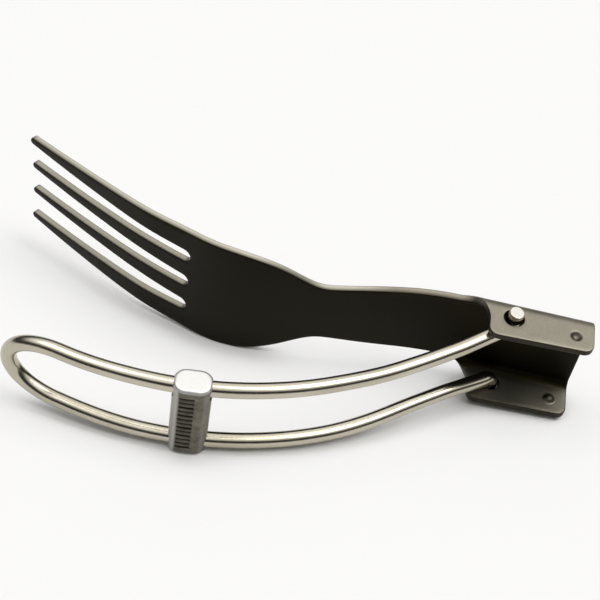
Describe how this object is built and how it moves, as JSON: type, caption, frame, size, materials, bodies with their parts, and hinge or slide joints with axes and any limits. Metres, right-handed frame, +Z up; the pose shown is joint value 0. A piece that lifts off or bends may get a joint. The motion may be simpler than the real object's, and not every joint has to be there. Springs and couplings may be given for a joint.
{
  "type": "folding fork",
  "caption": "Folding fork with a stamped sheet head, a bent wire loop handle that pivots in a rear channel, and a slider block on the wire that locks the open handle.",
  "frame": {"origin": "bottom centre of the bounding box, with the fork lying on its side as pictured", "axes": "+Z up and along the hinge axis; +X from the tines to the rear channel; +Y out of the concave face of the head, away from the handle"},
  "size_m": [0.0948, 0.0448, 0.0232],
  "materials": {
    "head_sheet": "bead-blasted titanium sheet, dark warm grey, finely grained",
    "handle_wire": "smooth drawn titanium wire, bright with a warm tint",
    "slider_block": "satin titanium block with rounded edges"
  },
  "bodies": {
    "head": {"fork_head": "head_sheet"},
    "handle": {"wire_handle": "handle_wire"},
    "slider": {"lock_slider": "slider_block"}
  },
  "joints": [
    {"name": "handle_fold", "type": "hinge", "parent": "head", "child": "handle", "pos_m": [0.03453, 0.00315, 0.0116], "axis": [0, 0, 1], "range_deg": [-23.5, 147.5]},
    {"name": "slider_slide", "type": "hinge", "parent": "handle", "child": "slider", "pos_m": [-0.01675, 0.03918, 0.0116], "axis": [0, 0, 1], "range_deg": [-14, 28]}
  ]
}
